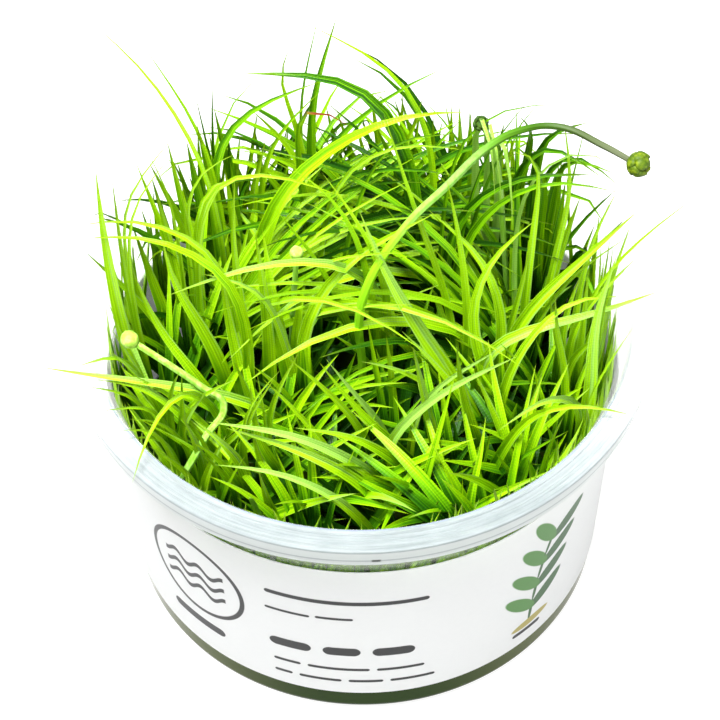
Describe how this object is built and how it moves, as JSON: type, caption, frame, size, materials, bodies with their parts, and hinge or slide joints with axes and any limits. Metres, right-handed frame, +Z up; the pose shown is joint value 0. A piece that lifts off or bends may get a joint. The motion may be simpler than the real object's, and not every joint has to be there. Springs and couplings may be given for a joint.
{
  "type": "tissue culture eriocaulon cinereum",
  "caption": "Tissue-cultured pipewort in a clear lidless cup: grassy plantlets with flower heads on stalks, growing on nutrient gel, with a wrap label.",
  "frame": {"origin": "centre of the cup's flat base, on the surface that it stands on", "axes": "+Z up through the mouth of the cup, -Y to the front of the label, +X to the right of it"},
  "size_m": [0.1041, 0.0976, 0.092],
  "materials": {
    "clear_plastic": "clear moulded plastic, frosted rim",
    "label_paper": null,
    "nutrient_gel": "wet translucent agar gel",
    "leaf_green": "soft glossy leaf, finely veined",
    "stalk_green": "pale ribbed flower stalk",
    "old_head": "dark olive, packed bracts",
    "young_head": "pale yellow-green bud"
  },
  "bodies": {
    "root": {"cup": "clear_plastic", "label": "label_paper", "nutrient_gel": "nutrient_gel", "flower_stalk_long": "stalk_green", "flower_head_long": "old_head", "flower_stalk_left": "stalk_green", "flower_head_left": "young_head", "flower_stalk_middle": "stalk_green", "flower_head_middle": "young_head", "flower_stalk_back": "stalk_green", "flower_head_back": "old_head", "plantlet_01": "leaf_green", "plantlet_02": "leaf_green", "plantlet_03": "leaf_green", "plantlet_04": "leaf_green", "plantlet_05": "leaf_green", "plantlet_06": "leaf_green", "plantlet_07": "leaf_green", "plantlet_08": "leaf_green", "plantlet_09": "leaf_green", "plantlet_10": "leaf_green", "plantlet_11": "leaf_green", "plantlet_12": "leaf_green", "plantlet_13": "leaf_green", "plantlet_14": "leaf_green", "plantlet_15": "leaf_green", "plantlet_16": "leaf_green", "plantlet_17": "leaf_green", "plantlet_18": "leaf_green", "plantlet_19": "leaf_green", "plantlet_20": "leaf_green", "plantlet_21": "leaf_green", "plantlet_22": "leaf_green", "plantlet_23": "leaf_green", "plantlet_24": "leaf_green", "plantlet_25": "leaf_green", "plantlet_26": "leaf_green", "plantlet_27": "leaf_green", "plantlet_28": "leaf_green"}
  },
  "joints": []
}
